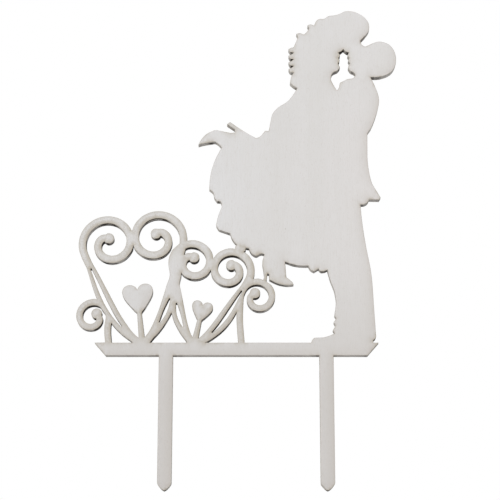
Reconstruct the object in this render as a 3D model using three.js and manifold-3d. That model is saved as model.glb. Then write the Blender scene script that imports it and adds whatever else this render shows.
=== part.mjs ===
// Wedding cake topper: a dancing couple and two scrolled hearts, cut from one sheet of three-ply
// basswood. They stand on a bar, and two stakes under the bar push into the cake.
// Millimetres, +Z up. The bar's underside is at z = 0 and the front face looks towards -Y.

import * as THREE from 'three';
import { mergeVertices } from 'three/addons/utils/BufferGeometryUtils.js';
import Module from 'manifold-3d';

// Plywood, from face to face: veneer, glue, core, glue, veneer; and the blank's waste round the pattern
const faceVeneer = 0.9;
const coreVeneer = 1.0;
const glueLine = 0.1;
const sheetThickness = 2 * faceVeneer + 2 * glueLine + coreVeneer;
const blankMargin = 10;

// Bar, with ends that slant in towards the cake
const barLength = 101;
const barHeight = 4.6;
const barSlant = 4;

// Stakes, with their corners at the point eased over this length
const stakeWidth = 5;
const stakeLength = 48.2;
const stakePoint = 2.5;
const stakeEase = 0.8;
const stakeSpacing = 57;
const stakeShift = 3.4;

// The couple's height above the bar, and the squares of the grid that it is drawn on, counted up to
// there. The drawing starts from a point on the bar's top edge that lies the inset in from the bar's
// right end. What stands on the bar reaches a little way down into it
const coupleHeight = 127.3;
const squareCount = 127.3;
const gridStep = coupleHeight / squareCount;
const coupleInset = 50.5;
const barLap = 1.2;

// Strokes of the scrollwork, the swelling stem of a heart and the cut along it, each with its width in
// the middle and at the ends, the lap of a heart's lobes, the stalk of a bud where it meets the bud,
// and the radius of a scroll's round end
const heartStroke = 2.7;
const stemMiddle = 4.9;
const stemEnds = 1.6;
const inlineMiddle = 1.4;
const inlineEnds = 0.4;
const lobeLap = 0.8;
const scrollStroke = 2.3;
const stalkNeck = 1.4;
const eyeRadius = 1.9;

// Hearts and scrolls, placed from the left end of the bar's top edge, with angles in degrees, and how
// far up its left and right stem each heart is cut: the stems that cross are cut up to the crossing
const largeHeart = {
  foot: 17, lobeRadius: 9.8, lobeHeight: 39, tiltAngle: 6, cutUpTo: [0.88, 0.5], budStalk: 13, budSize: 11,
};
const smallHeart = {
  foot: 35.2, lobeRadius: 7.5, lobeHeight: 30, tiltAngle: -12, cutUpTo: [0.56, 0.88], budStalk: 10,
  budSize: 7.5,
};
const leftScroll = {
  foot: 5, centre: [-1, 9.4], radius: 5.9, headingAngle: 95, fromAngle: -10, turnAngle: 410,
};
const rightScroll = {
  foot: 52.3, centre: [58.1, 16.6], radius: 6.2, headingAngle: 95, fromAngle: 175, turnAngle: -410,
};

// Bead between the small heart's right lobe and the hem: the angle from the middle of the lobe at which
// it sits, its radius, the gap that it spans and the place on the couple's grid that it is tied to
const beadAngle = 66;
const beadRadius = 1.9;
const beadGap = 1.2;
const tiePlace = [2.1, 36.7];

// Prop under the hanging heel: the angle from the middle of the right scroll at which it stands, its
// width and the place on the couple's grid, inside the heel, that it reaches
const propAngle = 69;
const propWidth = 1;
const heelPlace = [10.3, 24];

// How the strokes run: a stem's splay at the foot and how long it holds its heading, where the cut
// along it starts, where a lobe begins below its side, how far it winds and how the winding tightens
const stemSplay = 46;
const stemHold = 0.42;
const cutFrom = 0.24;
const lobeBegin = 20;
const lobeTurn = 470;
const windingEase = 1.5;

// Facets: how far a flat may stray from its curve, also on the faces, the flats along a stem, a cut
// and a curve, and how much longer they get towards the middle of a spiral
const facetSag = 0.08;
const faceSag = 0.02;
const stemFlats = 8;
const cutFlats = 6;
const curveFlats = 5;
const flatEase = 1.2;

const { degToRad, lerp } = THREE.MathUtils;

const wasm = await Module();
wasm.setup();

// Place on the couple's drawing
function at(x, y) {
  return new THREE.Vector2(barLength / 2 - coupleInset + x * gridStep, barHeight + y * gridStep);
}

// Place in the scrollwork, from the left end of the bar's top edge
function onBar(x, y) {
  return new THREE.Vector2(x - barLength / 2, barHeight + y);
}

function lineThrough(path, points) {
  for (const [x, y] of points) {
    const corner = at(x, y);
    path.lineTo(corner.x, corner.y);
  }
}

// Flats for a stretch of curve: one flat strays from it by an eighth of its length times its bend
function flatsFor(length, bend, sag) {
  return Math.max(1, Math.round(Math.sqrt(length * bend / (8 * sag))));
}

// Follows a smooth curve from the path's end through the given places, in flats that suit its bends
function curveThrough(path, points, sag = facetSag) {
  const curve = new THREE.SplineCurve([path.currentPoint.clone(), ...points.map(([x, y]) => at(x, y))]);
  const spans = points.length;
  for (let span = 0; span < spans; span += 1) {
    const bend = curve.getTangent(span / spans).angleTo(curve.getTangent((span + 1) / spans));
    const length = curve.points[span].distanceTo(curve.points[span + 1]);
    const flats = flatsFor(length, bend, sag);
    for (let flat = 1; flat <= flats; flat += 1) {
      const place = curve.getPoint((span + flat / flats) / spans);
      path.lineTo(place.x, place.y);
    }
  }
}

// Groom, from the heel up the trousers, over the coat tail to the collar
function groomBack(path) {
  lineThrough(path, [[48.6, 0.9], [49.4, 1.5]]);
  curveThrough(path, [[49.6, 3.2], [49.1, 13], [48.3, 26], [46.6, 36], [45.4, 45], [44.9, 51.4]]);
  curveThrough(path, [[46.5, 51.5], [47.6, 52.3], [48.1, 53.3]]);
  lineThrough(path, [[51.8, 53.2]]);
  curveThrough(path, [[52.3, 54], [51.3, 55.8], [49.4, 59.2], [48.2, 64.5], [47.8, 71], [47.9, 78.1]]);
  curveThrough(path, [[49.4, 81], [51.4, 86.2], [52.5, 91.6], [51.6, 95.8], [49.5, 100.8]]);
}

// Groom's hair, from the nape over the crown to the brow
function groomHair(path) {
  curveThrough(path, [[53.5, 101.1], [57.1, 102.8], [59, 106.2], [58.8, 110.4], [56.8, 113.7], [53.4, 115],
    [50.3, 114.2], [48, 113.1], [46.5, 113.8], [46, 115.4]]);
}

// Bride's hair, from the front lobe over the waved crown to the curls at the back
function brideHair(path) {
  curveThrough(path, [[47.9, 117.5], [49.3, 119.8], [49, 122.8], [47, 125.3], [43.6, 127.1], [40.4, 127.2],
    [38.4, 126.2]]);
  curveThrough(path, [[36.4, 125.6], [34.2, 125.3], [32.6, 124.2]]);
  curveThrough(path, [[30.6, 124.1], [29.4, 123], [28.8, 121.5]]);
  curveThrough(path, [[27.1, 121.9], [26.3, 121.5]]);
  curveThrough(path, [[26.8, 120.4], [26.1, 119], [24.9, 117.9]]);
  curveThrough(path, [[22.9, 118.4], [22.1, 118.1]]);
  curveThrough(path, [[22.6, 116.9], [22.2, 115.6], [21.1, 112.9]]);
  const curls = 4;
  const pitch = 2.65;
  for (let curl = 0; curl < curls; curl += 1) {
    const tip = 112 - curl * pitch;
    curveThrough(path, [[20.1, tip + 0.5], [19.1, tip]]);
    curveThrough(path, [[19.7, tip - 1.1], [21.1, tip - 1.4]]);
  }
  curveThrough(path, [[20, 100.8], [19.6, 98.9], [20.4, 97.8], [22.3, 96.5]]);
}

// Bride's shoulder and back down to the waist
function brideBack(path) {
  curveThrough(path, [[20.8, 94], [18.8, 91.4], [15, 88.7], [12.8, 85.6], [11.6, 79.6]]);
  lineThrough(path, [[10.1, 79.5]]);
}

// Kicked-up leg and its shoe with a slim heel
function kickedShoe(path) {
  curveThrough(path, [[8.9, 77.9], [6.9, 76.9]]);
  curveThrough(path, [[2.4, 79.6], [-2.6, 83.2]]);
  lineThrough(path, [[-3.7, 82.3], [-0.8, 80.3], [-0.8, 79.1]]);
  curveThrough(path, [[-2.8, 79], [-7.4, 80], [-11.2, 78.5], [-13.4, 75.9], [-14.2, 74.3]]);
  curveThrough(path, [[-11.4, 75], [-8.5, 75.5], [-6.8, 74.7], [-5.7, 73.2]]);
}

// Skirt, down its outer edge to the ruffled hem
function skirtEdge(path) {
  curveThrough(path, [[-8.2, 68], [-9.6, 63], [-10.1, 57.2]]);
  curveThrough(path, [[-8.7, 56], [-8.2, 54], [-7.2, 52.6], [-5.9, 52.5]]);
  curveThrough(path, [[-5.6, 50.2], [-6.8, 47.1], [-7.5, 44], [-6.2, 41.7], [-2.4, 40.4]]);
  curveThrough(path, [[-1.6, 38.2], [0.2, 36], [2.4, 35.1], [4.4, 34.8]]);
  curveThrough(path, [[5.3, 33], [7, 32], [8.6, 32.8], [10, 32.6]]);
}

// Hanging foot on tiptoe below the hem
function hangingFoot(path) {
  curveThrough(path, [[9.2, 29.6], [9.6, 26.4], [9.8, 22.8]]);
  lineThrough(path, [[10.7, 22.8], [11, 25.4], [11.6, 25.2], [11.7, 23.2]]);
  curveThrough(path, [[14.6, 21.8], [18.4, 21.1], [20.4, 21.3]]);
  curveThrough(path, [[19.6, 22.6], [17.8, 24.1], [17.4, 29.8]]);
}

// Front hem and its two small scallops
function frontHem(path) {
  curveThrough(path, [[21, 28.6], [25.8, 28.3]]);
  curveThrough(path, [[26.5, 27], [27.8, 26.2], [29.4, 27.2]]);
  curveThrough(path, [[30.2, 26.3], [31.4, 26.3], [32.6, 26.8]]);
}

// Groom's front leg, creased over the shoe, and the shoe down to the bar
function groomLeg(path) {
  curveThrough(path, [[33.4, 23.6], [35.2, 18.2], [35.5, 13.8]]);
  const creases = 3;
  const pitch = 2.8;
  const sway = 0.32;
  for (let crease = 0; crease < creases; crease += 1) {
    const drop = crease * pitch;
    const shift = crease * sway;
    curveThrough(path, [[34.95 - shift, 10.2 - drop], [35.6 - shift, 9 - drop]]);
  }
  curveThrough(path, [[32.6, 2.4], [30.4, 1.9], [27.8, 1.8]]);
  curveThrough(path, [[27, 1.1], [26.5, 0]]);
}

// The couple's whole outline, sunk a little into the bar so that the two are one sheet
function coupleOutline() {
  const outline = new THREE.Shape();
  const heel = at(48.6, 0);
  const toe = at(26.5, 0);
  outline.moveTo(heel.x, heel.y - barLap);
  groomBack(outline);
  groomHair(outline);
  brideHair(outline);
  brideBack(outline);
  kickedShoe(outline);
  skirtEdge(outline);
  hangingFoot(outline);
  frontHem(outline);
  groomLeg(outline);
  outline.lineTo(toe.x, toe.y - barLap);
  outline.closePath();
  return outline;
}

// Gap below the two noses: two calm profiles of plain proportions, then throat, chest and collar
function faceGap() {
  const gap = new THREE.Shape();
  const noses = at(39.6, 111.9);
  gap.moveTo(noses.x, noses.y);
  curveThrough(gap, [[38.6, 111], [37.7, 110.6]], faceSag);
  curveThrough(gap, [[38.3, 109.4], [37.7, 108.5]], faceSag);
  curveThrough(gap, [[38.1, 107.4], [37.5, 106.3], [38.2, 104.7], [37.1, 103.3]], faceSag);
  curveThrough(gap, [[35.4, 102.4], [34.8, 99.9], [36.1, 97]], faceSag);
  curveThrough(gap, [[37, 95.7], [37.9, 97]], faceSag);
  lineThrough(gap, [[38.3, 98.7]]);
  curveThrough(gap, [[40.8, 100], [43.2, 100.6]], faceSag);
  curveThrough(gap, [[43.9, 101.6], [43.5, 102.5], [42.2, 103.2]], faceSag);
  curveThrough(gap, [[41.3, 104.6], [42, 106.3], [41.3, 107.4], [41.8, 108.5]], faceSag);
  curveThrough(gap, [[41.1, 109.4], [41.7, 110.6]], faceSag);
  curveThrough(gap, [[40.6, 111], [39.6, 111.9]], faceSag);
  return gap;
}

// Bar seen from the front
function barOutline() {
  const bar = new THREE.Shape();
  bar.moveTo(-barLength / 2 + barSlant, 0);
  bar.lineTo(barLength / 2 - barSlant, 0);
  bar.lineTo(barLength / 2, barHeight);
  bar.lineTo(-barLength / 2, barHeight);
  bar.closePath();
  return bar;
}

// Corner eased by two flats
function easedCorner(before, corner, after) {
  const start = before.clone().sub(corner).setLength(stakeEase).add(corner);
  const end = after.clone().sub(corner).setLength(stakeEase).add(corner);
  const middle = start.clone().lerp(end, 0.5).lerp(corner, 0.5);
  return [start, middle, end];
}

// Stake with a point, running up into the bar
function stakeOutline(side) {
  const middle = stakeShift + side * stakeSpacing / 2;
  const half = stakeWidth / 2;
  const topLeft = new THREE.Vector2(middle - half, barHeight / 2);
  const topRight = new THREE.Vector2(middle + half, barHeight / 2);
  const left = new THREE.Vector2(middle - half, stakePoint - stakeLength);
  const right = new THREE.Vector2(middle + half, stakePoint - stakeLength);
  const point = new THREE.Vector2(middle, -stakeLength);
  return new THREE.Shape([
    topLeft,
    ...easedCorner(topLeft, left, point),
    ...easedCorner(left, point, right),
    ...easedCorner(point, right, topRight),
    topRight,
  ]);
}

// Closed strip of changing width along a centre line
function ribbon(line, halfWidth) {
  const left = [];
  const right = [];
  const last = line.length - 1;
  for (let i = 0; i <= last; i += 1) {
    const along = line[Math.min(i + 1, last)].clone().sub(line[Math.max(i - 1, 0)]).normalize();
    const across = new THREE.Vector2(-along.y, along.x).multiplyScalar(halfWidth(i / last));
    left.push(line[i].clone().add(across));
    right.unshift(line[i].clone().sub(across));
  }
  return new THREE.Shape([...right.reverse(), ...left.reverse()]);
}

function unitVector(angle) {
  return new THREE.Vector2(Math.cos(angle), Math.sin(angle));
}

// Stem of a scroll: leaves its foot along the heading and runs into the spiral
function stemCurve({ foot, heading, centre, radius, from, turn }) {
  const start = unitVector(from).multiplyScalar(radius).add(centre);
  const reach = start.distanceTo(foot) * stemHold;
  const leave = foot.clone().addScaledVector(unitVector(heading), reach);
  const arrive = start.clone().addScaledVector(unitVector(from + Math.PI / 2), -reach * Math.sign(turn));
  return new THREE.CubicBezierCurve(foot, leave, arrive, start);
}

// Distance from the middle of a spiral, as it winds in from its radius to its eye
function spiralReach(radius, share) {
  return eyeRadius + (radius - eyeRadius) * (1 - share ** windingEase);
}

// Spiral of a scroll, with shorter flats where it is wide
function spiralLine({ centre, radius, from, turn }) {
  const length = Math.abs(turn) * (radius + eyeRadius) / 2;
  const flats = flatsFor(length, Math.abs(turn), facetSag);
  const line = [];
  for (let flat = 1; flat <= flats; flat += 1) {
    const share = (flat / flats) ** flatEase;
    line.push(unitVector(from + turn * share).multiplyScalar(spiralReach(radius, share)).add(centre));
  }
  return line;
}

// One scroll: stem and spiral in one stroke, with a round eye at the end
function scrollShapes(scroll, width) {
  const line = [...stemCurve(scroll).getPoints(stemFlats), ...spiralLine(scroll)];
  const end = line[line.length - 1];
  const eye = new THREE.Shape();
  eye.absarc(end.x, end.y, eyeRadius, 0, Math.PI * 2);
  return [ribbon(line, () => width / 2), eye];
}

// Scroll that stands on the bar by itself
function standingScroll({ foot, centre, radius, headingAngle, fromAngle, turnAngle }) {
  return {
    foot: onBar(foot, -barLap),
    heading: degToRad(headingAngle),
    centre: onBar(...centre),
    radius,
    from: degToRad(fromAngle),
    turn: degToRad(turnAngle),
  };
}

// The two mirrored scrolls that make a heart, their lobes lapping in the middle
function heartScrolls({ foot, lobeRadius, lobeHeight, tiltAngle }) {
  const lean = degToRad(tiltAngle);
  const base = onBar(foot, -barLap);
  const spread = spiralReach(lobeRadius, (180 + lobeBegin) / lobeTurn) + (heartStroke - lobeLap) / 2;
  return [-1, 1].map((side) => ({
    foot: base,
    heading: degToRad(90 - side * stemSplay) + lean,
    centre: new THREE.Vector2(side * spread, lobeHeight).rotateAround(new THREE.Vector2(), lean).add(base),
    radius: lobeRadius,
    from: degToRad(90 - side * (90 + lobeBegin)) + lean,
    turn: side * degToRad(lobeTurn),
  }));
}

// Half the width of a stroke that swells from its ends to its middle
function swelling(ends, middle) {
  return (share) => lerp(ends, middle, Math.sin(Math.PI * share)) / 2;
}

// Stroke of a heart's stem, whose ends lie inside the plain stroke
function swellingStem(scroll) {
  return ribbon(stemCurve(scroll).getPoints(stemFlats), swelling(stemEnds, stemMiddle));
}

// Slim cut that follows the middle of a swelling stem
function inlineCut(scroll, upTo) {
  const stem = stemCurve(scroll);
  const line = [];
  for (let flat = 0; flat <= cutFlats; flat += 1) {
    line.push(stem.getPoint(lerp(cutFrom, upTo, flat / cutFlats)));
  }
  return ribbon(line, swelling(inlineEnds, inlineMiddle));
}

// Small solid heart on a stalk inside a scrolled heart, drawn on a square of its own size
function budShapes({ foot, budStalk, budSize, tiltAngle }) {
  const lean = degToRad(tiltAngle);
  const base = onBar(foot, -barLap);
  const tip = base.clone().addScaledVector(unitVector(Math.PI / 2 + lean), budStalk);
  const from = (x, y) => new THREE.Vector2(x, y).multiplyScalar(budSize)
    .rotateAround(new THREE.Vector2(), lean).add(tip);
  const curves = [
    [from(0, -0.2), from(-0.3, 0.24), from(-0.52, 0.46), from(-0.5, 0.66)],
    [from(-0.5, 0.66), from(-0.48, 0.94), from(-0.08, 0.96), from(0, 0.7)],
    [from(0, 0.7), from(0.08, 0.96), from(0.48, 0.94), from(0.5, 0.66)],
    [from(0.5, 0.66), from(0.52, 0.46), from(0.3, 0.24), from(0, -0.2)],
  ];
  const bud = new THREE.Shape();
  bud.curves = curves.map((corners) => new THREE.CubicBezierCurve(...corners));
  return [bud, ribbon([base, from(0, 0.2)], (share) => lerp(scrollStroke, stalkNeck, share) / 2)];
}

// Place on the first turn of a spiral, at an angle from its middle and some way outside its centre line
function onSpiral({ centre, radius, from, turn }, angle, outside) {
  const reach = spiralReach(radius, (angle - from) / turn) + outside;
  return unitVector(angle).multiplyScalar(reach).add(centre);
}

// Round bead on the outer edge of a heart's lobe, with its tie to the hem
function beadShapes(lobe) {
  const middle = onSpiral(lobe, degToRad(beadAngle), (heartStroke + beadGap) / 2);
  const bead = new THREE.Shape();
  bead.absarc(middle.x, middle.y, beadRadius, 0, Math.PI * 2);
  return [bead, ribbon([middle, at(...tiePlace)], () => scrollStroke / 2)];
}

// Prop from a scroll up into the heel of the hanging shoe, so that the two keep together
function heelProp(scroll) {
  return ribbon([onSpiral(scroll, degToRad(propAngle), 0), at(...heelPlace)], () => propWidth / 2);
}

// Solid of a closed geometry, ready to be joined and cut
function solidFrom(geometry) {
  geometry.deleteAttribute('normal');
  geometry.deleteAttribute('uv');
  const merged = mergeVertices(geometry);
  return new wasm.Manifold(new wasm.Mesh({
    numProp: 3,
    vertProperties: new Float32Array(merged.attributes.position.array),
    triVerts: new Uint32Array(merged.index.array),
  }));
}

// Upright solid of a shape, which stands out of both faces of the sheet
function solidOf(shape) {
  const geometry = new THREE.ExtrudeGeometry(shape, {
    depth: 3 * sheetThickness,
    bevelEnabled: false,
    curveSegments: curveFlats,
  });
  geometry.translate(0, 0, -sheetThickness);
  return solidFrom(geometry);
}

function joinedSolid(shapes) {
  return shapes.map(solidOf).reduce((joined, solid) => joined.add(solid));
}

// Scrolled heart with a bud inside
function heartShapes(heart) {
  const strokes = heartScrolls(heart)
    .flatMap((scroll) => [...scrollShapes(scroll, heartStroke), swellingStem(scroll)]);
  return [...strokes, ...budShapes(heart)];
}

// Cuts in the two stems of a heart
function heartCuts(heart) {
  return heartScrolls(heart).map((scroll, i) => inlineCut(scroll, heart.cutUpTo[i]));
}

// The whole pattern, as the cutter leaves it
function cutPattern() {
  const hearts = [largeHeart, smallHeart];
  const figures = [barOutline(), stakeOutline(-1), stakeOutline(1), coupleOutline()];
  const scrolls = [leftScroll, rightScroll].map(standingScroll);
  const strokes = scrolls.flatMap((scroll) => scrollShapes(scroll, scrollStroke));
  const ties = [...beadShapes(heartScrolls(smallHeart)[1]), heelProp(scrolls[1])];
  const openings = [faceGap(), ...hearts.flatMap(heartCuts)];
  return joinedSolid([...figures, ...strokes, ...hearts.flatMap(heartShapes), ...ties])
    .subtract(joinedSolid(openings));
}

// One ply of the blank, cut to the pattern
function plyGeometry(pattern, thickness) {
  const reach = new THREE.Box3().setFromArray(pattern.getMesh().vertProperties);
  const size = reach.getSize(new THREE.Vector3());
  const middle = reach.getCenter(new THREE.Vector3());
  const blank = new THREE.BoxGeometry(size.x + 2 * blankMargin, size.y + 2 * blankMargin, thickness);
  blank.translate(middle.x, middle.y, thickness / 2);
  const { vertProperties, triVerts } = solidFrom(blank).intersect(pattern).getMesh();
  const ply = new THREE.BufferGeometry();
  ply.setAttribute('position', new THREE.BufferAttribute(vertProperties, 3));
  ply.setIndex(new THREE.BufferAttribute(triVerts, 1));
  ply.computeVertexNormals();
  return ply;
}

const paleWood = () => new THREE.MeshStandardMaterial({ color: 0xdad8d6, roughness: 0.75, metalness: 0 });
const coreWood = () => new THREE.MeshStandardMaterial({ color: 0x8f8375, roughness: 0.85, metalness: 0 });
const glueFilm = () => new THREE.MeshStandardMaterial({ color: 0x4d4239, roughness: 0.6, metalness: 0 });

// Lay-up from the back face to the front face
const layUp = [
  ['back_veneer', faceVeneer, paleWood],
  ['back_glue_line', glueLine, glueFilm],
  ['core_veneer', coreVeneer, coreWood],
  ['front_glue_line', glueLine, glueFilm],
  ['front_veneer', faceVeneer, paleWood],
];

const group = new THREE.Group();
const pattern = cutPattern();
let rear = sheetThickness / 2;
for (const [name, thickness, material] of layUp) {
  const ply = new THREE.Mesh(plyGeometry(pattern, thickness), material());
  ply.name = name;
  ply.rotation.x = Math.PI / 2;
  ply.position.y = rear;
  rear -= thickness;
  group.add(ply);
}

export default group;
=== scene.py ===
import math

import bmesh
import bpy
import numpy as np
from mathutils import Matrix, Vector, geometry, kdtree


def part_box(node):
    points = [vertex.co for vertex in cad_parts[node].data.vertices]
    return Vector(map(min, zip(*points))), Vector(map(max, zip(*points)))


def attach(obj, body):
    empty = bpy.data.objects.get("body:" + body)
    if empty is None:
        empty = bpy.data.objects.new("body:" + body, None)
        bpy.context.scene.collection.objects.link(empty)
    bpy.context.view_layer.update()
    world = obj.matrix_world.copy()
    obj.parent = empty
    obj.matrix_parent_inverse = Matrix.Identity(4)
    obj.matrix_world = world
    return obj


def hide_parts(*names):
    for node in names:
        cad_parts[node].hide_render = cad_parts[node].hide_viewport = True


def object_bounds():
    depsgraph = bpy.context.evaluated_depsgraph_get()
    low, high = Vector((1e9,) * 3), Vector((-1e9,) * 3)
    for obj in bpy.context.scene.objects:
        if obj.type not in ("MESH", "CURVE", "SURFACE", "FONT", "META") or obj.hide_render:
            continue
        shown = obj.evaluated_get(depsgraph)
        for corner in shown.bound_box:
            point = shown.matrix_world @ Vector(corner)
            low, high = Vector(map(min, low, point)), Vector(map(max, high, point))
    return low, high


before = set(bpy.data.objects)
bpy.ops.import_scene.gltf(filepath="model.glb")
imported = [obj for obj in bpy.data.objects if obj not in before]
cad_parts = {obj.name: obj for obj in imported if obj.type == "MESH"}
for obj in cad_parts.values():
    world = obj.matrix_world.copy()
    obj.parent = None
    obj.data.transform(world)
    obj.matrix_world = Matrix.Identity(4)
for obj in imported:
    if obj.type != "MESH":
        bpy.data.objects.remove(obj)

# Wedding cake topper, laser-cut from three-ply basswood. Metres, the front face looks towards -Y.
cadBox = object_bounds()
mm = 0.001
closest = 1e-7  # metres, points nearer than this are one
scene = bpy.context.scene


# Cut path: the line that the laser followed, read from the front veneer and smoothed

cutPath = {
    "weld": 0.004,         # mm, corners of the solid this close are one
    "flatness": 0.001,     # mm, how far a corner of the front face may lie off it
    "shortest": 0.12,      # mm, shorter flats are left out
    "cornerTurn": 50,      # degrees, a sharper turn stays a corner
    "cornerStray": 0.3,    # mm, so does one that smoothing would move this far
    "straightStray": 0.2,  # mm, and a flat that would bow this far stays straight
    "step": 0.35,          # mm between points of the smoothed path
    "reach": 4.0,          # mm, how far the heat of other cuts is felt
    "crowd": (25, 52),     # points of path within that reach, from cool to hottest
    "slowing": 1.2,        # mm before and after a turn where the beam moves slowly
    "slowTurn": 110,       # degrees of turning there that heat the edge most
    "slowHeat": 0.28,      # the heat of that turning, where the hottest crowd gives 1
    "smokeAndShadeDrift": (0.8, -0.6),  # way that the air jet drove the smoke, X and Z; walls that face this way also get painted shade, and walls that face against it get painted light
}


def readCutLoops(node):
    solid = bmesh.new()
    solid.from_mesh(node.data)
    bmesh.ops.remove_doubles(solid, verts=solid.verts, dist=cutPath["weld"] * mm)
    front = min(vert.co.y for vert in solid.verts)
    flatness = cutPath["flatness"] * mm
    frontFaces = [face for face in solid.faces if all(abs(v.co.y - front) < flatness for v in face.verts)]
    onFront = set(frontFaces)
    following = {}
    for face in frontFaces:
        for corner in face.loops:
            if not any(other in onFront for other in corner.edge.link_faces if other is not face):
                following[corner.vert] = corner.link_loop_next.vert
    loops = []
    while following:
        vert = next(iter(following))
        loop = []
        while vert in following:
            loop.append(Vector((vert.co.x, vert.co.z)))
            vert = following.pop(vert)
        loops.append(loop)
    solid.free()
    return loops


def withoutShortFlats(loop):
    kept = []
    for point in loop:
        if not kept or (point - kept[-1]).length > cutPath["shortest"] * mm:
            kept.append(point)
    if (kept[0] - kept[-1]).length < cutPath["shortest"] * mm:
        kept.pop()
    return kept


def bowOf(turn, length):
    return turn * length / 8  # how far an arc of that turn stands off its chord


def pathSlopes(flats, isStraight):
    slopes = []
    for i, after in enumerate(flats):
        before = flats[i - 1]
        slope = before.normalized() * after.length + after.normalized() * before.length
        if isStraight[i - 1] != isStraight[i]:
            slope = before if isStraight[i - 1] else after
        slopes.append(slope.normalized())
    return slopes


def smoothLoop(loop):
    count = len(loop)
    flats = [loop[(i + 1) % count] - loop[i] for i in range(count)]
    turns = [flats[i - 1].angle(flats[i]) for i in range(count)]
    strays = [bowOf(turns[i], min(flats[i - 1].length, flats[i].length)) for i in range(count)]
    isCorner = [turn > math.radians(cutPath["cornerTurn"]) or stray > cutPath["cornerStray"] * mm
                for turn, stray in zip(turns, strays)]
    isStraight = []
    for i in range(count):
        ends = [turns[k] for k in (i, (i + 1) % count) if not isCorner[k]]
        isStraight.append(not ends or bowOf(max(ends), flats[i].length) > cutPath["straightStray"] * mm)
    slopes = pathSlopes(flats, isStraight)
    smoothed = []
    for i in range(count):
        j = (i + 1) % count
        chord = flats[i]
        heading = chord.normalized()
        leave, arrive = slopes[i], slopes[j]
        if isStraight[i]:
            leave = arrive = heading
        elif isCorner[i]:
            leave = (3 * heading - arrive) / 2  # no bend at the corner itself
        elif isCorner[j]:
            arrive = (3 * heading - leave) / 2
        pieces = max(1, round(chord.length / (cutPath["step"] * mm)))
        for piece in range(pieces):
            t = piece / pieces
            point = loop[i] * (2 * t**3 - 3 * t**2 + 1) + loop[j] * (3 * t**2 - 2 * t**3)
            point += leave * chord.length * (t**3 - 2 * t**2 + t)
            point += arrive * chord.length * (t**3 - t**2)
            smoothed.append(point)
    return smoothed


def inwardNormals(loop):
    count = len(loop)
    normals = []
    for i in range(count):
        along = loop[(i + 1) % count] - loop[i - 1]
        normals.append(Vector((-along.y, along.x)).normalized())
    return normals


cutLoops = [smoothLoop(withoutShortFlats(loop)) for loop in readCutLoops(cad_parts["front_veneer"])]
pathPoints = [point for loop in cutLoops for point in loop]
pathInward = [normal for loop in cutLoops for normal in inwardNormals(loop)]
pathEdges = []
for loop in cutLoops:
    first = len(pathEdges)
    pathEdges += [(first + i, first + (i + 1) % len(loop)) for i in range(len(loop))]
pathTree = kdtree.KDTree(len(pathPoints))
for i, point in enumerate(pathPoints):
    pathTree.insert(point.to_3d(), i)
pathTree.balance()


def slowTurns(loop):
    count = len(loop)
    turns = [(loop[i] - loop[i - 1]).angle(loop[(i + 1) % count] - loop[i]) for i in range(count)]
    window = round(cutPath["slowing"] / cutPath["step"])
    return [sum(turns[(i + k) % count] for k in range(-window, window + 1)) for i in range(count)]


def pathHeats():
    cool, hot = cutPath["crowd"]
    slow = [turn / math.radians(cutPath["slowTurn"]) for loop in cutLoops for turn in slowTurns(loop)]
    heats = []
    for point, slowing in zip(pathPoints, slow):
        crowd = len(pathTree.find_range(point.to_3d(), cutPath["reach"] * mm))
        heats.append(min(1, max(0, (crowd - cool) / (hot - cool)) + min(1, slowing) * cutPath["slowHeat"]))
    return heats


pathHeat = pathHeats()
print("cut path:", len(cutLoops), "loops,", len(pathPoints), "points")


# Blanks: the pattern as a flat sheet in the XZ plane, with what the finish needs on each point

blank = {
    "rows": (0.3, 0.7, 1.15, 1.8),  # mm, rows of points inside the cut edge
    "rowSlack": 0.93,               # share of that distance that a point keeps from every other cut
    "grid": 2.0,                    # mm, points over the rest of the face
    "gridGap": 0.6,                 # mm between the last row and the grid
    "batch": 2000,                  # points that are tested together
    "overlap": 1e-9,                # metres, places this close are one when the sheet is divided
}


def insidePattern(points):
    ends = np.array([[*pathPoints[a], *pathPoints[b]] for a, b in pathEdges])
    inside = np.zeros(len(points), bool)
    for first in range(0, len(points), blank["batch"]):
        batch = slice(first, first + blank["batch"])
        x, z = np.array(points[batch]).T[:, :, None]
        spans = (ends[:, 1] > z) != (ends[:, 3] > z)
        with np.errstate(divide="ignore", invalid="ignore"):
            reach = ends[:, 0] + (z - ends[:, 1]) / (ends[:, 3] - ends[:, 1]) * (ends[:, 2] - ends[:, 0])
        inside[batch] = (spans & (x < reach)).sum(1) % 2 == 1
    return inside


def pointsInside():
    wanted = []  # each place with the distance that it keeps from the cut
    for reach in blank["rows"]:
        every = max(1, round(reach / cutPath["step"]))
        for i in range(0, len(pathPoints), every):
            wanted.append((pathPoints[i] + pathInward[i] * reach * mm, reach * blank["rowSlack"] * mm))
    low, high = cadBox
    step = blank["grid"] * mm
    columns = int((high.x - low.x) / step) + 1
    lines = int((high.z - low.z) / step) + 1
    for column in range(columns):
        for line in range(lines):  # every other column stands half a step higher
            place = Vector((low.x + column * step, low.z + (line + column % 2 / 2) * step))
            wanted.append((place, (blank["rows"][-1] + blank["gridGap"]) * mm))
    clear = [place for place, reach in wanted if pathTree.find(place.to_3d())[2] > reach]
    return [place for place, inside in zip(clear, insidePattern(clear)) if inside]


def storeOnPoints(mesh, name, values):
    mesh.attributes.new(name, "FLOAT", "POINT").data.foreach_set("value", values)


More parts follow.
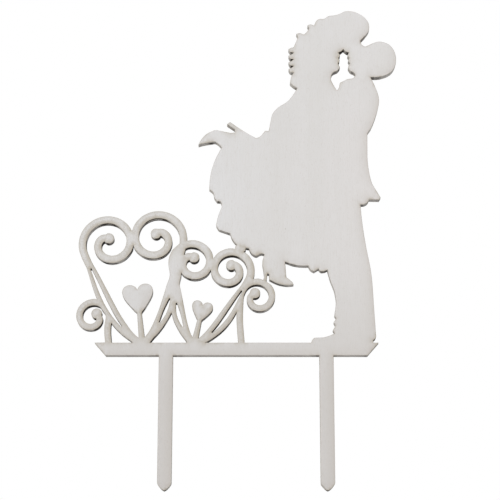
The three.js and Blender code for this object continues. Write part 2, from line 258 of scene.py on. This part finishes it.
def makeBlank(name, extraPoints):
    places, _, faces, _, _, _ = geometry.delaunay_2d_cdt(
        pathPoints + extraPoints, pathEdges, [], 0, blank["overlap"])
    middles = [sum((places[i] for i in face), Vector((0, 0))) / 3 for face in faces]
    kept = [face for face, inside in zip(faces, insidePattern(middles)) if inside]
    mesh = bpy.data.meshes.new(name)
    mesh.from_pydata([(place.x, 0, place.y) for place in places], [], kept)
    nearest = [pathTree.find(place.to_3d()) for place in places]
    drift = Vector(cutPath["smokeAndShadeDrift"])
    storeOnPoints(mesh, "edgeDistance", [distance / mm for _, _, distance in nearest])
    storeOnPoints(mesh, "burn", [pathHeat[i] for _, i, _ in nearest])
    # how much an edge faces the drift: painted shade and painted light on the walls, smoke stains on the
    # face
    storeOnPoints(mesh, "smokeAndShade", [max(0, -drift.dot(pathInward[i])) for _, i, _ in nearest])
    inward = mesh.attributes.new("inward", "FLOAT_VECTOR", "POINT")
    for at, (_, i, distance) in enumerate(nearest):
        if distance < closest:
            inward.data[at].vector = (pathInward[i].x, 0, pathInward[i].y)
    mesh.validate()
    return mesh


denseBlank = makeBlank("denseBlank", pointsInside())
plainBlank = makeBlank("plainBlank", [])
print("blanks:", len(denseBlank.polygons), "and", len(plainBlank.polygons), "faces")


# Nodes that the finishes and the plies share

def newMaterial(name, gloss):
    material = bpy.data.materials.new(name)
    material.use_nodes = True
    tree = material.node_tree
    shader = tree.nodes["Principled BSDF"]
    shader.inputs["Specular IOR Level"].default_value = gloss
    return material, tree, shader


def addNode(tree, kind, inputs=None, **settings):
    node = tree.nodes.new(kind)
    for key, value in settings.items():
        setattr(node, key, value)
    for key, value in (inputs or {}).items():
        if isinstance(value, bpy.types.NodeSocket):
            tree.links.new(value, node.inputs[key])
        else:
            node.inputs[key].default_value = value
    return node


def srgb(red, green, blue):
    def linear(value):  # the sRGB curve, from 0 to 255
        value /= 255
        return value / 12.92 if value <= 0.04045 else ((value + 0.055) / 1.055) ** 2.4
    return (linear(red), linear(green), linear(blue), 1)


def stretched(tree, size, shift):
    coords = addNode(tree, "ShaderNodeTexCoord")
    mapping = addNode(tree, "ShaderNodeMapping", {
        "Vector": coords.outputs["Object"],
        "Location": shift,
        "Scale": [1 / (length * mm) for length in size],
    })
    return mapping.outputs["Vector"]


def noiseOf(tree, grain, shift):
    node = addNode(tree, "ShaderNodeTexNoise", {
        "Vector": stretched(tree, grain["size"], shift), "Scale": 1.0,
        "Detail": grain["detail"], "Roughness": grain["rough"]})
    return node.outputs["Fac"]


def ranged(tree, value, between, share):
    node = addNode(tree, "ShaderNodeMapRange", {
        "Value": value, "From Min": between[0], "From Max": between[1],
        "To Min": share[0], "To Max": share[1]})
    return node.outputs["Result"]


def mathOf(tree, operation, first, second):
    node = addNode(tree, "ShaderNodeMath", {0: first, 1: second}, operation=operation)
    return node.outputs[0]


def times(tree, first, second):
    return mathOf(tree, "MULTIPLY", first, second)


def mixed(tree, factor, first, second):
    node = addNode(tree, "ShaderNodeMix", {0: factor, 6: first, 7: second}, data_type="RGBA")
    return node.outputs[2]  # 6, 7 and this one are the node's colour sockets


def attributeOf(tree, name):
    return addNode(tree, "ShaderNodeAttribute", attribute_name=name).outputs["Fac"]


def finishShader(tree, shader, look, color, rough, relief):
    bump = addNode(tree, "ShaderNodeBump", {
        "Strength": look["bump"], "Distance": look["bumpDepth"] * mm, "Height": relief})
    tree.links.new(color, shader.inputs["Base Color"])
    tree.links.new(ranged(tree, rough, look["roughBetween"], look["roughness"]), shader.inputs["Roughness"])
    tree.links.new(bump.outputs["Normal"], shader.inputs["Normal"])


# Face veneer: upright grain, painted shade that darkens it towards the stakes, and the stains of the cut
# along its edges. A grain has its size in mm along X, Y and Z, the values of its noise between which it
# sets in, and the most of its tint.
# Colours are sRGB, from 0 to 255

paleVeneer = {
    "gloss": 0.25,
    "wood": (221.5, 220.5, 220.5),
    "warm": (220.5, 217.2, 215.5),
    "warmAcross": (-5, 52),   # mm along X, from plain to warm
    "coolAbove": (80, 115),   # mm along Z, where the warmth drops to the share below
    "coolShare": 0.5,
    "paintedShade": (207.5, 204, 201),
    "paintedShadeBelow": (36, -14),  # mm along Z, painted shade, darker towards the stakes
    "bands": {"size": (9, 9, 160), "detail": 2, "rough": 0.5,
              "between": (0.38, 0.66), "most": 0.5, "tint": (216, 214, 211.5)},
    "clouds": {"size": (26, 26, 40), "detail": 1, "rough": 0.5,
               "between": (0.35, 0.7), "most": 0.35, "tint": (216, 214, 211.5)},
    "hairs": {"size": (0.45, 0.45, 16), "detail": 4, "rough": 0.6,
              "between": (0.52, 0.78), "most": 0.16, "tint": (203, 198, 192)},
    "fibres": {"size": (0.16, 0.16, 3.2), "detail": 3, "rough": 0.6,
               "between": (0.45, 0.75), "most": 0.24, "tint": (203, 198, 192)},
    "pores": {"size": (0.09, 0.09, 1.3), "detail": 1, "rough": 0.5,
              "between": (0.66, 0.74), "most": 0.5, "tint": (184, 175, 164)},
    "specks": {"size": (7, 7, 7), "detail": 0, "rough": 0.5,
               "between": (0.45, 0.6), "most": 0.55, "tint": (170, 160, 149)},
    "speckSpacing": (5.5, 5.5, 10),  # mm
    "speckRadius": (0.015, 0.045),   # share of that spacing, dark core and soft edge
    "roughBetween": (0.3, 0.7),
    "roughness": (0.55, 0.78),
    "hairRelief": -0.6,              # against the fibres' height of 1, below zero is a groove
    "bump": 0.35,
    "bumpDepth": 0.06,               # mm
}

edgeStains = {
    "leeAndShade": (0, 0.6),         # smoke and painted shade of an edge, from clean to sooty
    "sootAndShadeShare": (0.5, 1),   # how much of the stains such edges keep
    "fade": 0.37,            # what is left of a stain for each reach away from the edge
    "scorch": (178, 169, 150),
    "scorchMost": 0.98,
    "leastReach": 0.05,      # mm
    "ragged": {"size": (1.6, 1.6, 2.4), "detail": 3, "rough": 0.5},
    "raggedBetween": (0.3, 0.7),
    "raggedReach": (0.55, 1.45),
    "smokeAndShade": (184, 175, 164),
    "smokeMost": 0.48,
    "smokeReach": 1.7,       # mm
    "rim": (142, 130, 117),
    "rimHeat": (0, 0.8),
    "rimShare": (0.25, 0.6),
    "rimWidth": 0.2,         # mm
}


def tinted(tree, color, grain, noise):
    amount = ranged(tree, noise, grain["between"], (0, grain["most"]))
    return mixed(tree, amount, color, srgb(*grain["tint"]))


def groundOf(tree, shift):
    place = addNode(tree, "ShaderNodeSeparateXYZ", {0: stretched(tree, (1, 1, 1), (0, 0, 0))}).outputs
    warmth = times(tree, ranged(tree, place["X"], paleVeneer["warmAcross"], (0, 1)),
                   ranged(tree, place["Z"], paleVeneer["coolAbove"], (1, paleVeneer["coolShare"])))
    color = mixed(tree, warmth, srgb(*paleVeneer["wood"]), srgb(*paleVeneer["warm"]))
    for grain in (paleVeneer["bands"], paleVeneer["clouds"]):
        color = tinted(tree, color, grain, noiseOf(tree, grain, shift))
    # painted shade: the face darkens towards the stakes in place of the light's fall-off
    shadedBelow = ranged(tree, place["Z"], paleVeneer["paintedShadeBelow"], (0, 1))
    return mixed(tree, shadedBelow, color, srgb(*paleVeneer["paintedShade"]))


def specksOn(tree, color, shift):
    specks = paleVeneer["specks"]
    dots = addNode(tree, "ShaderNodeTexVoronoi", {
        "Vector": stretched(tree, paleVeneer["speckSpacing"], shift), "Scale": 1.0, "Randomness": 1.0})
    dark = ranged(tree, dots.outputs["Distance"], paleVeneer["speckRadius"], (1, 0))
    seldom = ranged(tree, noiseOf(tree, specks, shift), specks["between"], (0, specks["most"]))
    return mixed(tree, times(tree, dark, seldom), color, srgb(*specks["tint"]))


def stainsOn(tree, color, shift, scorchReach):
    distance = attributeOf(tree, "edgeDistance")
    burn = attributeOf(tree, "burn")
    smokeAndShade = attributeOf(tree, "smokeAndShade")
    sooty = ranged(tree, smokeAndShade, edgeStains["leeAndShade"], edgeStains["sootAndShadeShare"])
    ragged = noiseOf(tree, edgeStains["ragged"], shift)
    ragged = ranged(tree, ragged, edgeStains["raggedBetween"], edgeStains["raggedReach"])
    reach = times(tree, times(tree, burn, scorchReach), ragged)
    away = mathOf(tree, "DIVIDE", distance, mathOf(tree, "MAXIMUM", reach, edgeStains["leastReach"]))
    scorched = mathOf(tree, "POWER", edgeStains["fade"], away)
    scorched = times(tree, scorched, times(tree, sooty, edgeStains["scorchMost"]))
    color = mixed(tree, scorched, color, srgb(*edgeStains["scorch"]))
    away = mathOf(tree, "DIVIDE", distance, edgeStains["smokeReach"])
    smoky = mathOf(tree, "POWER", edgeStains["fade"], away)
    smoky = times(tree, smoky, times(tree, smokeAndShade, edgeStains["smokeMost"]))
    color = mixed(tree, smoky, color, srgb(*edgeStains["smokeAndShade"]))
    rim = times(tree, ranged(tree, burn, edgeStains["rimHeat"], edgeStains["rimShare"]), sooty)
    rim = times(tree, ranged(tree, distance, (0, edgeStains["rimWidth"]), (1, 0)), rim)
    return mixed(tree, rim, color, srgb(*edgeStains["rim"]))


def makeVeneer(name, shift, scorchReach):
    material, tree, shader = newMaterial(name, paleVeneer["gloss"])
    hairs, fibres, pores = (paleVeneer[grain] for grain in ("hairs", "fibres", "pores"))
    hairNoise = noiseOf(tree, hairs, shift)
    fibreNoise = noiseOf(tree, fibres, shift)
    color = groundOf(tree, shift)
    color = tinted(tree, color, hairs, hairNoise)
    color = tinted(tree, color, fibres, fibreNoise)
    color = tinted(tree, color, pores, noiseOf(tree, pores, shift))
    color = specksOn(tree, color, shift)
    color = stainsOn(tree, color, shift, scorchReach)
    hairHeight = ranged(tree, hairNoise, hairs["between"], (0, hairs["most"]))
    relief = mathOf(tree, "ADD", fibreNoise, times(tree, hairHeight, paleVeneer["hairRelief"]))
    finishShader(tree, shader, paleVeneer, color, fibreNoise, relief)
    return material


# Cut edge: brown to ashen, black where the beam dwelt; painted light on the walls that face up and left,
# drawn as bare wood, and painted shade on those that face down and right, drawn as more char

charredEdge = {
    "gloss": 0.08,
    "char": (38, 33, 28),
    "brown": (162, 158, 154),
    "ash": (186, 183, 179),
    "bareAndLit": (202, 197, 190),
    "ribs": {"size": (0.22, 6, 0.22), "detail": 3, "rough": 0.6, "between": (0.4, 0.68), "most": 0.3},
    "drifts": {"size": (7, 7, 7), "detail": 2, "rough": 0.5, "between": (0.35, 0.65)},
    "blotches": {"size": (8, 8, 8), "detail": 1, "rough": 0.5, "between": (0.51, 0.57), "least": 0.06},
    "hotBlotches": 0.12,      # what the most heat adds to the blotches' noise
    "windwardAndLit": (0, 0.35),    # smoke and painted shade on an edge, from the painted light of bare wood to brown
    "bareAndLitMost": 0.9,
    "bareAndLitRibs": 0.4,          # share of the ribs on the painted-light bare wood
    "heat": (0.05, 0.45),     # from brown to charred
    "charShare": (0.1, 1.0),
    "leeAndShade": (0, 0.3),          # smoke and painted shade on an edge, from clean to sooty and darker
    "sootAndShadeShare": (0.1, 1),
    "roughBetween": (0.3, 0.7),
    "roughness": (0.7, 0.92),
    "bump": 0.6,
    "bumpDepth": 0.08,        # mm
}


def makeCharredWall(name, shift, ashMost):
    material, tree, shader = newMaterial(name, charredEdge["gloss"])
    ribs, drifts, blotches = (charredEdge[grain] for grain in ("ribs", "drifts", "blotches"))
    burn = attributeOf(tree, "burn")
    smokeAndShade = attributeOf(tree, "smokeAndShade")
    char = srgb(*charredEdge["char"])
    ashen = ranged(tree, noiseOf(tree, drifts, shift), drifts["between"], (0, ashMost))
    color = mixed(tree, ashen, srgb(*charredEdge["brown"]), srgb(*charredEdge["ash"]))
    # painted light: walls that face up and left turn pale, like bare wood
    bareAndLit = ranged(tree, smokeAndShade, charredEdge["windwardAndLit"], (charredEdge["bareAndLitMost"], 0))
    color = mixed(tree, bareAndLit, color, srgb(*charredEdge["bareAndLit"]))
    ribNoise = noiseOf(tree, ribs, shift)
    ribbed = times(tree, ranged(tree, ribNoise, ribs["between"], (0, ribs["most"])),
                   ranged(tree, smokeAndShade, charredEdge["windwardAndLit"], (charredEdge["bareAndLitRibs"], 1)))
    color = mixed(tree, ribbed, color, char)
    hotter = times(tree, burn, charredEdge["hotBlotches"])
    blackened = mathOf(tree, "ADD", noiseOf(tree, blotches, shift), hotter)
    patchy = ranged(tree, blackened, blotches["between"], (blotches["least"], 1))
    charAndShade = times(tree, ranged(tree, burn, charredEdge["heat"], charredEdge["charShare"]), patchy)
    # painted shade: walls that face down and right get more char
    charAndShade = times(tree, charAndShade, ranged(tree, smokeAndShade, charredEdge["leeAndShade"], charredEdge["sootAndShadeShare"]))
    color = mixed(tree, charAndShade, color, char)
    finishShader(tree, shader, charredEdge, color, ribNoise, ribNoise)
    return material


# Glue line: a dark film that the beam burnt in beads

glueEdge = {
    "gloss": 0.2,
    "film": (96, 86, 76),
    "burnt": (52, 46, 41),
    "beads": {"size": (0.8, 2, 0.8), "detail": 2, "rough": 0.5, "between": (0.35, 0.65)},
    "roughBetween": (0.3, 0.7),
    "roughness": (0.4, 0.65),
    "bump": 0.4,
    "bumpDepth": 0.05,  # mm
}


def makeGlueFilm(name, shift):
    material, tree, shader = newMaterial(name, glueEdge["gloss"])
    beadNoise = noiseOf(tree, glueEdge["beads"], shift)
    burnt = ranged(tree, beadNoise, glueEdge["beads"]["between"], (0, 1))
    color = mixed(tree, burnt, srgb(*glueEdge["film"]), srgb(*glueEdge["burnt"]))
    finishShader(tree, shader, glueEdge, color, beadNoise, beadNoise)
    return material


frontFace = makeVeneer("frontFace", shift=(0, 0, 0), scorchReach=1.1)
backFace = makeVeneer("backFace", shift=(3.7, 0, 8.1), scorchReach=1.6)
faceWall = makeCharredWall("faceWall", shift=(0, 0, 0), ashMost=1.0)
coreWall = makeCharredWall("coreWall", shift=(5.3, 0, 2.9), ashMost=0.6)
glueFilm = makeGlueFilm("glueFilm", shift=(1.9, 0, 4.4))
print("finishes ready")


# Plies: Geometry Nodes give each blank its thickness, the ripple of the cut and its eased edges

plyInputs = {
    "Blank": "Geometry",
    "Rear": "Float",
    "Thickness": "Float",
    "Edge": "Float",
    "Taper": "Float",
    "Ripple": "Float",
    "Ripple Length": "Float",
    "Seed": "Float",
    "Face": "Material",
    "Wall": "Material",
}

plyCut = {
    "rippleDetail": 2.0,
    "rippleBetween": (0.25, 0.75),
    "rippleShare": (-0.5, 1.0),  # of the ripple's depth, from outside the path to inside it
    "softAngle": 32,             # degrees, a flatter edge is shaded smooth
}


def addInput(tree, name, kind):
    return tree.interface.new_socket(name=name, in_out="INPUT", socket_type="NodeSocket" + kind)


def scaledInward(tree, amount):
    inward = addNode(tree, "GeometryNodeInputNamedAttribute", {"Name": "inward"}, data_type="FLOAT_VECTOR")
    scaled = addNode(tree, "ShaderNodeVectorMath", {
        0: inward.outputs["Attribute"], "Scale": amount}, operation="SCALE")
    return scaled.outputs["Vector"]


def alongDepth(tree, amount):
    return addNode(tree, "ShaderNodeCombineXYZ", {"Y": amount}).outputs["Vector"]


def moved(tree, shape, offset, selection=True):
    node = addNode(tree, "GeometryNodeSetPosition", {
        "Geometry": shape, "Selection": selection, "Offset": offset})
    return node.outputs["Geometry"]


def grownForward(tree, shape, depth, selection=True):
    node = addNode(tree, "GeometryNodeExtrudeMesh", {
        "Mesh": shape, "Selection": selection, "Individual": False, "Offset Scale": 1.0,
        "Offset": alongDepth(tree, times(tree, depth, -1.0))})
    return node.outputs


def markedWall(tree, shape, sides):
    node = addNode(tree, "GeometryNodeStoreNamedAttribute", {
        "Geometry": shape, "Selection": sides, "Name": "cutWall", "Value": True,
    }, data_type="BOOLEAN", domain="FACE")
    return node.outputs["Geometry"]


def rippleDepth(tree, given):
    ripple = addNode(tree, "ShaderNodeTexNoise", {
        "W": given["Seed"], "Scale": mathOf(tree, "DIVIDE", 1.0, given["Ripple Length"]),
        "Detail": plyCut["rippleDetail"],
    }, noise_dimensions="4D")
    share = ranged(tree, ripple.outputs["Fac"], plyCut["rippleBetween"], plyCut["rippleShare"])
    return times(tree, share, given["Ripple"])


def shadedSmooth(tree, shape):
    angle = addNode(tree, "GeometryNodeInputMeshEdgeAngle")
    softEdge = addNode(tree, "FunctionNodeCompare", {
        0: angle.outputs["Unsigned Angle"], 1: math.radians(plyCut["softAngle"]),
    }, data_type="FLOAT", operation="LESS_THAN")
    smoothFaces = addNode(tree, "GeometryNodeSetShadeSmooth", {
        "Geometry": shape, "Shade Smooth": True}, domain="FACE")
    softEdges = addNode(tree, "GeometryNodeSetShadeSmooth", {
        "Geometry": smoothFaces.outputs["Geometry"], "Shade Smooth": softEdge.outputs["Result"],
    }, domain="EDGE")
    return softEdges.outputs["Geometry"]


def makePlyTree():
    tree = bpy.data.node_groups.new("cutPly", "GeometryNodeTree")
    tree.is_modifier = True
    sockets = {name: addInput(tree, name, kind) for name, kind in plyInputs.items()}
    tree.interface.new_socket(name="Ply", in_out="OUTPUT", socket_type="NodeSocketGeometry")
    given = tree.nodes.new("NodeGroupInput").outputs
    flat = moved(tree, given["Blank"], scaledInward(tree, rippleDepth(tree, given)))
    flat = moved(tree, flat, alongDepth(tree, given["Rear"]))
    rearCap = addNode(tree, "GeometryNodeFlipFaces", {"Mesh": flat})  # the growth leaves the rear open
    wall = grownForward(tree, flat, mathOf(tree, "SUBTRACT", given["Thickness"], given["Edge"]))
    walled = moved(tree, wall["Mesh"], scaledInward(tree, given["Taper"]), wall["Top"])
    walled = markedWall(tree, walled, wall["Side"])
    lip = grownForward(tree, walled, given["Edge"], wall["Top"])
    lipped = moved(tree, lip["Mesh"], scaledInward(tree, given["Edge"]), lip["Top"])
    lipped = markedWall(tree, lipped, lip["Side"])
    joined = addNode(tree, "GeometryNodeJoinGeometry")
    for shape in (rearCap.outputs["Mesh"], lipped):
        tree.links.new(shape, joined.inputs[0])
    merged = addNode(tree, "GeometryNodeMergeByDistance", {
        "Geometry": joined.outputs["Geometry"], "Distance": closest})
    smooth = shadedSmooth(tree, merged.outputs["Geometry"])
    real = addNode(tree, "GeometryNodeRealizeInstances", {"Geometry": smooth})
    faced = addNode(tree, "GeometryNodeSetMaterial", {
        "Geometry": real.outputs["Geometry"], "Material": given["Face"]})
    isWall = addNode(tree, "GeometryNodeInputNamedAttribute", {"Name": "cutWall"}, data_type="BOOLEAN")
    finished = addNode(tree, "GeometryNodeSetMaterial", {
        "Geometry": faced.outputs["Geometry"], "Selection": isWall.outputs["Attribute"],
        "Material": given["Wall"]})
    tree.links.new(finished.outputs["Geometry"], tree.nodes.new("NodeGroupOutput").inputs["Ply"])
    return tree, {name: socket.identifier for name, socket in sockets.items()}


plyTree, plySockets = makePlyTree()

plies = {  # sizes in mm, a taper below zero makes the front the larger side
    "front_veneer": {"blank": denseBlank, "face": frontFace, "wall": faceWall, "slot": "face_veneer",
                     "edge": 0.05, "taper": -0.02, "ripple": 0.025, "rippleLength": 0.9, "seed": 1.0},
    "front_glue_line": {"blank": plainBlank, "face": glueFilm, "wall": glueFilm, "slot": "glue_line",
                        "edge": 0.01, "taper": 0.0, "ripple": 0.05, "rippleLength": 0.6, "seed": 2.0},
    "core_veneer": {"blank": plainBlank, "face": coreWall, "wall": coreWall, "slot": "core_veneer",
                    "edge": 0.02, "taper": 0.0, "ripple": 0.035, "rippleLength": 0.7, "seed": 3.0},
    "back_glue_line": {"blank": plainBlank, "face": glueFilm, "wall": glueFilm, "slot": "glue_line",
                       "edge": 0.01, "taper": 0.0, "ripple": 0.05, "rippleLength": 0.6, "seed": 4.0},
    "back_veneer": {"blank": denseBlank, "face": backFace, "wall": faceWall, "slot": "face_veneer",
                    "edge": 0.03, "taper": -0.02, "ripple": 0.025, "rippleLength": 0.9, "seed": 5.0},
}


def dressPly(node, look):
    low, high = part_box(node)
    sketch = bpy.data.objects.new(node + "_sketch", look["blank"].copy())
    scene.collection.objects.link(sketch)
    modifier = sketch.modifiers.new("cut", "NODES")
    modifier.node_group = plyTree
    values = {
        "Rear": high.y,
        "Thickness": high.y - low.y,
        "Edge": look["edge"] * mm,
        "Taper": look["taper"] * mm,
        "Ripple": look["ripple"] * mm,
        "Ripple Length": look["rippleLength"] * mm,
        "Seed": look["seed"],
        "Face": look["face"],
        "Wall": look["wall"],
    }
    for name, value in values.items():
        modifier[plySockets[name]] = value
    evaluated = sketch.evaluated_get(bpy.context.evaluated_depsgraph_get())
    mesh = bpy.data.meshes.new_from_object(evaluated)
    mesh.name = node + "_cut"
    mesh.materials.pop(index=0)  # the blank's own slot, which is empty
    bpy.data.objects.remove(sketch)
    ply = bpy.data.objects.new(node + "_cut", mesh)
    scene.collection.objects.link(ply)
    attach(ply, "root")
    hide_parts(node)
    print("ply:", node, len(mesh.polygons), "faces")


for node, look in plies.items():
    dressPly(node, look)


# Stage: a pale floor under the stakes that is seen from above only, white surroundings, soft light

stage = {
    "floorSize": 8.0,      # metres
    "floorColor": (0.86, 0.86, 0.86, 1),
    "floorGloss": 0.2,
    "floorRoughness": 0.9,
    "fade": (0.2, 0.9),    # metres from the part, where the floor fades to the white around it
    "white": (1, 1, 1, 1),
    "ambient": 0.64,
    "lampSize": 0.9,       # metres
    "lampAim": (0, 0, 0.04),
    "lamps": {             # power in watts, place in metres
        "key": (7.8, (-0.3, -1.0, 1.2)),
        "fill": (2.0, (1.1, -0.9, 0.3)),
        "rear": (7.4, (0.5, 1.0, 1.1)),
    },
}


def seenRay(tree):
    path = addNode(tree, "ShaderNodeLightPath")
    seen = mathOf(tree, "MAXIMUM", path.outputs["Is Camera Ray"], path.outputs["Is Glossy Ray"])
    return mathOf(tree, "MAXIMUM", seen, path.outputs["Is Transmission Ray"])


def makeFloorFinish():
    material, tree, shader = newMaterial("paleFloor", stage["floorGloss"])
    shader.inputs["Base Color"].default_value = stage["floorColor"]
    shader.inputs["Roughness"].default_value = stage["floorRoughness"]
    coords = addNode(tree, "ShaderNodeTexCoord")
    away = addNode(tree, "ShaderNodeVectorMath", {0: coords.outputs["Object"]}, operation="LENGTH")
    faded = times(tree, ranged(tree, away.outputs["Value"], stage["fade"], (0, 1)), seenRay(tree))
    white = addNode(tree, "ShaderNodeEmission", {"Color": stage["white"], "Strength": 1.0})
    pale = addNode(tree, "ShaderNodeMixShader", {0: faded, 1: shader.outputs[0], 2: white.outputs[0]})
    clear = addNode(tree, "ShaderNodeBsdfTransparent")
    below = addNode(tree, "ShaderNodeNewGeometry")
    path = addNode(tree, "ShaderNodeLightPath")
    seenFromBelow = times(tree, below.outputs["Backfacing"], path.outputs["Is Camera Ray"])
    mix = addNode(tree, "ShaderNodeMixShader", {0: seenFromBelow, 1: pale.outputs[0], 2: clear.outputs[0]})
    tree.links.new(mix.outputs[0], tree.nodes["Material Output"].inputs["Surface"])
    return material


def makeFloor():
    half = stage["floorSize"] / 2
    ground = cadBox[0].z
    corners = [(-half, -half, ground), (half, -half, ground), (half, half, ground), (-half, half, ground)]
    mesh = bpy.data.meshes.new("floor")
    mesh.from_pydata(corners, [], [(0, 1, 2, 3)])
    mesh.materials.append(makeFloorFinish())
    floor = bpy.data.objects.new("floor", mesh)
    scene.collection.objects.link(floor)


def makeSurroundings():
    world = bpy.data.worlds.new("surroundings")
    world.use_nodes = True
    tree = world.node_tree
    light = tree.nodes["Background"]
    light.inputs["Color"].default_value = stage["white"]
    light.inputs["Strength"].default_value = stage["ambient"]
    white = addNode(tree, "ShaderNodeBackground", {"Color": stage["white"], "Strength": 1.0})
    mix = addNode(tree, "ShaderNodeMixShader", {0: seenRay(tree), 1: light.outputs[0], 2: white.outputs[0]})
    tree.links.new(mix.outputs[0], tree.nodes["World Output"].inputs["Surface"])
    scene.world = world


def makeLamp(name, power, place):
    data = bpy.data.lights.new(name, "AREA")
    data.energy = power
    data.size = stage["lampSize"]
    lamp = bpy.data.objects.new(name, data)
    lamp.location = place
    lamp.rotation_euler = (Vector(stage["lampAim"]) - lamp.location).to_track_quat("-Z", "Y").to_euler()
    scene.collection.objects.link(lamp)


makeFloor()
makeSurroundings()
for name, (power, place) in stage["lamps"].items():
    makeLamp(name, power, place)
print("stage ready")


# Camera: below the part, looking up at it

shot = {
    "aim": (4.75, -1.5, 38.8),  # mm, the point in the middle of the picture
    "distance": 613.7,          # mm
    "rise": -15.5,              # degrees that the camera stands above the aim, here below it
    "lens": 122.4,              # mm
    "sensor": 36,               # mm
    "nearest": 0.01,            # metres, what is closer isn't shown
}


def makeCamera():
    rise = math.radians(shot["rise"])
    back = Vector((0, -math.cos(rise), math.sin(rise)))
    data = bpy.data.cameras.new("shot")
    data.sensor_width = shot["sensor"]
    data.lens = shot["lens"]
    data.clip_start = shot["nearest"]
    camera = bpy.data.objects.new("shot", data)
    camera.location = Vector(shot["aim"]) * mm + back * shot["distance"] * mm
    camera.rotation_euler = (-back).to_track_quat("-Z", "Y").to_euler()
    scene.collection.objects.link(camera)
    scene.camera = camera


makeCamera()
scene.view_settings.view_transform = "Standard"
print("camera ready")
